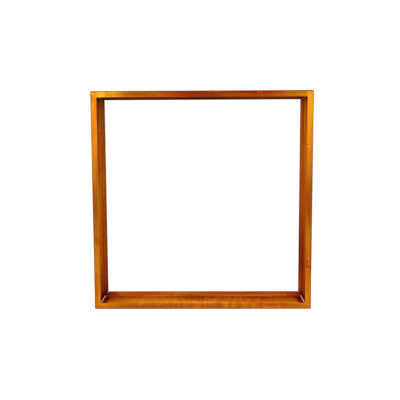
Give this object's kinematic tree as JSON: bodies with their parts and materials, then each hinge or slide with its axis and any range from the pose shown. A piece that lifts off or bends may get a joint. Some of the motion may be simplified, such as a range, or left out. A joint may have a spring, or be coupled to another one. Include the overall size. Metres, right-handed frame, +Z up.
{
  "type": "floating frame",
  "caption": "Square floating picture frame: deep mitred wooden box rails with a thin stop strip pinned inside, and swinging ring hangers and bumpers on the back.",
  "frame": {"origin": "centre of the bottom face, which the frame stands on, midway between the front and the back of the rails", "axes": "+X along the width to the right seen from the front, -Y out of the front, +Z up"},
  "size_m": [0.33, 0.0671, 0.33],
  "materials": {
    "rail_wood": "amber varnish, semi-gloss",
    "stop_wood": "amber varnish, semi-gloss",
    "brad_brass": "bright brass plated steel",
    "v_nail_steel": "bare hardened steel",
    "dried_glue": "dried wood glue, pale",
    "hanger_steel": "nickel plated",
    "ring_steel": "nickel plated wire",
    "screw_steel": "zinc plated",
    "bumper_rubber": "clear grey polyurethane"
  },
  "bodies": {
    "frame": {"top_rail": "rail_wood", "bottom_rail": "rail_wood", "left_rail": "rail_wood", "right_rail": "rail_wood", "top_stop": "stop_wood", "bottom_stop": "stop_wood", "left_stop": "stop_wood", "right_stop": "stop_wood", "top_stop_brads": "brad_brass", "bottom_stop_brads": "brad_brass", "left_stop_brads": "brad_brass", "right_stop_brads": "brad_brass", "top_left_v_nails": "v_nail_steel", "top_right_v_nails": "v_nail_steel", "bottom_left_v_nails": "v_nail_steel", "bottom_right_v_nails": "v_nail_steel", "top_left_glue_bead": "dried_glue", "top_right_glue_bead": "dried_glue", "bottom_left_glue_bead": "dried_glue", "bottom_right_glue_bead": "dried_glue", "left_hanger_strap": "hanger_steel", "left_hanger_screw": "screw_steel", "left_bumper": "bumper_rubber", "right_hanger_strap": "hanger_steel", "right_hanger_screw": "screw_steel", "right_bumper": "bumper_rubber"},
    "left_ring": {"left_hanger_ring": "ring_steel"},
    "right_ring": {"right_hanger_ring": "ring_steel"}
  },
  "joints": [
    {"name": "left_ring_swing", "type": "hinge", "parent": "frame", "child": "left_ring", "pos_m": [-0.15905, 0.03333, 0.248], "axis": [1, 0, 0], "range_deg": [0, 174]},
    {"name": "right_ring_swing", "type": "hinge", "parent": "frame", "child": "right_ring", "pos_m": [0.15905, 0.03333, 0.248], "axis": [1, 0, 0], "range_deg": [0, 174]}
  ]
}
